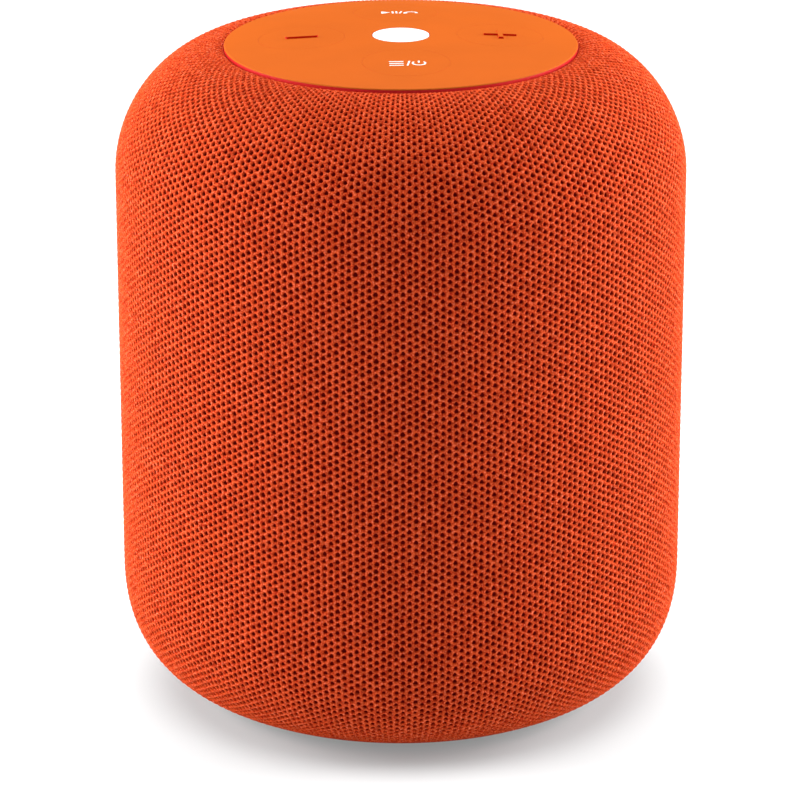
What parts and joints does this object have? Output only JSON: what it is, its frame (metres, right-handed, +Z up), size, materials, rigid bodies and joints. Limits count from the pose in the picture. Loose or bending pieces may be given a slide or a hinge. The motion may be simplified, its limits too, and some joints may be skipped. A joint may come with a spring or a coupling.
{
  "type": "portable bluetooth speaker",
  "caption": "Round, fabric-covered portable speaker with a domed control panel on top, sockets at the back and a rubber foot ring.",
  "frame": {"origin": "on the floor, under the middle of the foot ring", "axes": "+Z up along the axis of the drum, front (mode and power key) towards -Y, sockets towards +Y, plus key towards +X"},
  "size_m": [0.12, 0.12, 0.1432],
  "materials": {
    "fabric_orange": "knitted mesh",
    "silicone_orange": "smooth matte",
    "plastic_black": "fine texture",
    "plastic_dark": "fine texture",
    "rubber_black": "matte",
    "opal": "milky, smooth",
    "steel": "fine brushed",
    "zinc": "bright plated",
    "ferrite": "ground, matte",
    "paper_cone": "pressed fibre",
    "spider_cloth": "impregnated cloth",
    "copper": "enamelled winding",
    "circuit_board": "solder mask",
    "chip": "moulded epoxy",
    "cell_wrap": "shrink sleeve",
    "capacitor_can": "drawn can",
    "lamp": "clear resin",
    "white_insulation": "smooth",
    "red_insulation": "smooth"
  },
  "bodies": {
    "housing": {"foot_ring": "rubber_black", "base_plate": "plastic_dark", "grille_cage": "plastic_black", "fabric_sleeve": "fabric_orange", "base_screw_1": "zinc", "base_screw_2": "zinc", "base_screw_3": "zinc", "base_screw_4": "zinc", "battery_tray": "plastic_dark", "battery_cell_1": "cell_wrap", "battery_cell_2": "cell_wrap", "battery_lead": "red_insulation", "main_board": "circuit_board", "bluetooth_module": "steel", "amplifier_chip": "chip", "storage_capacitor": "capacitor_can", "usb_c_socket": "steel", "aux_jack": "plastic_black", "microphone": "steel", "port_panel": "plastic_black", "chamber_shell": "plastic_dark", "chamber_lid": "plastic_dark", "speaker_lead": "red_insulation", "ribbon_cable": "white_insulation", "driver_frame": "zinc", "driver_top_plate": "steel", "driver_magnet": "ferrite", "driver_back_plate": "steel", "driver_spider": "spider_cloth", "driver_surround": "rubber_black", "driver_screw_1": "zinc", "driver_screw_2": "zinc", "driver_screw_3": "zinc", "driver_screw_4": "zinc", "radiator_frame": "plastic_dark", "radiator_surround": "rubber_black", "control_skin": "silicone_orange", "light_window": "opal", "top_plate": "plastic_black", "key_board": "circuit_board", "indicator_led": "lamp", "diffuser_cone": "plastic_black", "switch_volume_down": "chip", "switch_volume_up": "chip", "switch_play": "chip", "switch_mode": "chip", "top_screw_1": "zinc", "top_screw_2": "zinc", "top_screw_3": "zinc", "key_board_screw_1": "zinc", "key_board_screw_2": "zinc", "key_board_screw_3": "zinc"},
    "driver_voice": {"voice_coil": "copper", "driver_cone": "paper_cone", "dust_cap": "paper_cone"},
    "radiator": {"radiator_plate": "steel"},
    "key_volume_down_cap": {"key_volume_down": "silicone_orange"},
    "key_volume_up_cap": {"key_volume_up": "silicone_orange"},
    "key_play_cap": {"key_play": "silicone_orange"},
    "key_mode_cap": {"key_mode": "silicone_orange"}
  },
  "joints": [
    {"name": "key_volume_down_press", "type": "slide", "parent": "housing", "child": "key_volume_down_cap", "axis": [0, 0, -1], "range_m": [0, 0.0005], "stiffness_N_per_m": 1500},
    {"name": "key_volume_up_press", "type": "slide", "parent": "housing", "child": "key_volume_up_cap", "axis": [0, 0, -1], "range_m": [0, 0.0005], "stiffness_N_per_m": 1500},
    {"name": "key_play_press", "type": "slide", "parent": "housing", "child": "key_play_cap", "axis": [0, 0, -1], "range_m": [0, 0.0005], "stiffness_N_per_m": 1500},
    {"name": "key_mode_press", "type": "slide", "parent": "housing", "child": "key_mode_cap", "axis": [0, 0, -1], "range_m": [0, 0.0005], "stiffness_N_per_m": 1500},
    {"name": "driver_stroke", "type": "slide", "parent": "housing", "child": "driver_voice", "axis": [0, 0, 1], "range_m": [-0.002, 0.002], "stiffness_N_per_m": 1500, "deforming": ["driver_surround", "driver_spider"]},
    {"name": "radiator_stroke", "type": "slide", "parent": "housing", "child": "radiator", "axis": [0, 0, 1], "range_m": [-0.003, 0.003], "stiffness_N_per_m": 1200, "deforming": ["radiator_surround"]}
  ]
}
